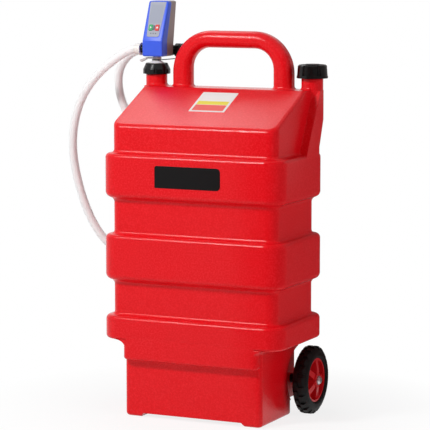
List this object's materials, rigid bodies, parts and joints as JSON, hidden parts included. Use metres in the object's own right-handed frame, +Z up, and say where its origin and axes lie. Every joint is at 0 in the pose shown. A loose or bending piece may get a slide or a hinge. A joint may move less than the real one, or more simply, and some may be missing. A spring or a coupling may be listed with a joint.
{
  "type": "fuel caddy",
  "caption": "Tall wheeled fuel caddy: stepped blow-moulded tank with sloped shoulder, loop handle, capped filler neck, battery transfer pump on the second neck, looped hose and spoked wheels.",
  "frame": {"origin": "on the floor under the middle of the caddy's box, the hose, its cuff and its nozzle left out", "axes": "+Z up, -Y towards the sloped front, +X towards the filler cap"},
  "size_m": [0.6595, 0.3291, 0.9108],
  "materials": {
    "red_polyethylene": "blow-moulded, satin",
    "red_rim_plastic": "moulded",
    "black_plastic": "moulded",
    "black_rubber": "soft",
    "white_plastic": "moulded",
    "grey_plastic": "moulded",
    "blue_plastic": "moulded",
    "panel_grey": "printed film",
    "green_button": "soft key",
    "red_button": "soft key",
    "board_laminate": "coated",
    "cell_jacket": "printed film",
    "plated_steel": "zinc plated",
    "clear_hose": "translucent",
    "tyre_rubber": "moulded tread"
  },
  "bodies": {
    "caddy": {"tank": "red_polyethylene", "strainer": "black_plastic", "outlet_ring": "black_plastic", "nozzle": "black_plastic", "wheel_spacers": "black_plastic", "adapter_gasket": "black_rubber", "cap_tether": "black_rubber", "shaft_seal": "black_rubber", "neck_adapter": "white_plastic", "hose_cuff": "white_plastic", "pump_chamber": "white_plastic", "pump_rear_shell": "grey_plastic", "pump_front_shell": "blue_plastic", "control_panel": "panel_grey", "circuit_board": "board_laminate", "battery_cells": "cell_jacket", "battery_contacts": "plated_steel", "motor": "plated_steel", "shell_screws": "plated_steel", "axle": "plated_steel", "axle_caps": "plated_steel", "hose": "clear_hose", "dip_hose": "clear_hose"},
    "cap_seal": {"fill_cap_seal": "black_rubber"},
    "cap": {"fill_cap": "black_plastic"},
    "nut": {"ring_nut": "black_plastic"},
    "lever": {"lock_lever": "grey_plastic"},
    "drip_cap": {"nozzle_cap": "black_plastic"},
    "on_key": {"on_button": "green_button"},
    "off_key": {"off_button": "red_button"},
    "door": {"battery_door": "grey_plastic"},
    "rotor": {"impeller": "white_plastic"},
    "left_wheel": {"left_rim": "red_rim_plastic", "left_tyre": "tyre_rubber", "left_bush": "white_plastic"},
    "right_wheel": {"right_rim": "red_rim_plastic", "right_tyre": "tyre_rubber", "right_bush": "white_plastic"}
  },
  "joints": [
    {"name": "left_wheel_spin", "type": "hinge", "parent": "caddy", "child": "left_wheel", "pos_m": [-0.1985, 0.06475, 0.076], "axis": [1, 0, 0], "continuous": true},
    {"name": "right_wheel_spin", "type": "hinge", "parent": "caddy", "child": "right_wheel", "pos_m": [0.1985, 0.06475, 0.076], "axis": [1, 0, 0], "continuous": true},
    {"name": "fill_cap_rise", "type": "slide", "parent": "caddy", "child": "cap_seal", "axis": [0, 0, 1], "range_m": [0, 0.0165]},
    {"name": "fill_cap_turn", "type": "hinge", "parent": "cap_seal", "child": "cap", "pos_m": [0.1915, 0.08275, 0.76], "axis": [0, 0, 1], "range_deg": [0, 1080]},
    {"name": "ring_nut_turn", "type": "hinge", "parent": "caddy", "child": "nut", "pos_m": [-0.1915, 0.08275, 0.758], "axis": [0, 0, 1], "range_deg": [0, 90]},
    {"name": "lock_lever_turn", "type": "hinge", "parent": "caddy", "child": "lever", "pos_m": [-0.1915, 0.08275, 0.78], "axis": [0, 0, 1], "range_deg": [-45, 45]},
    {"name": "drip_cap_turn", "type": "hinge", "parent": "caddy", "child": "drip_cap", "pos_m": [-0.1555, 0.13575, 0.7978], "axis": [1, 0, 0], "continuous": true},
    {"name": "on_button_press", "type": "slide", "parent": "caddy", "child": "on_key", "axis": [0, 0.927, -0.375], "range_m": [0, 0.0009], "stiffness_N_per_m": 600},
    {"name": "off_button_press", "type": "slide", "parent": "caddy", "child": "off_key", "axis": [0, 0.927, -0.375], "range_m": [0, 0.0009], "stiffness_N_per_m": 600},
    {"name": "battery_door_slide", "type": "slide", "parent": "caddy", "child": "door", "axis": [0, 0.1503, 0.9886], "range_m": [0, 0.03]},
    {"name": "impeller_spin", "type": "hinge", "parent": "caddy", "child": "rotor", "pos_m": [-0.1915, 0.08275, 0.8], "axis": [0, 0, 1], "continuous": true}
  ],
  "couplings": [
    {"joint": "fill_cap_rise", "follows": "fill_cap_turn", "m_per_rad": 0.00087535}
  ]
}
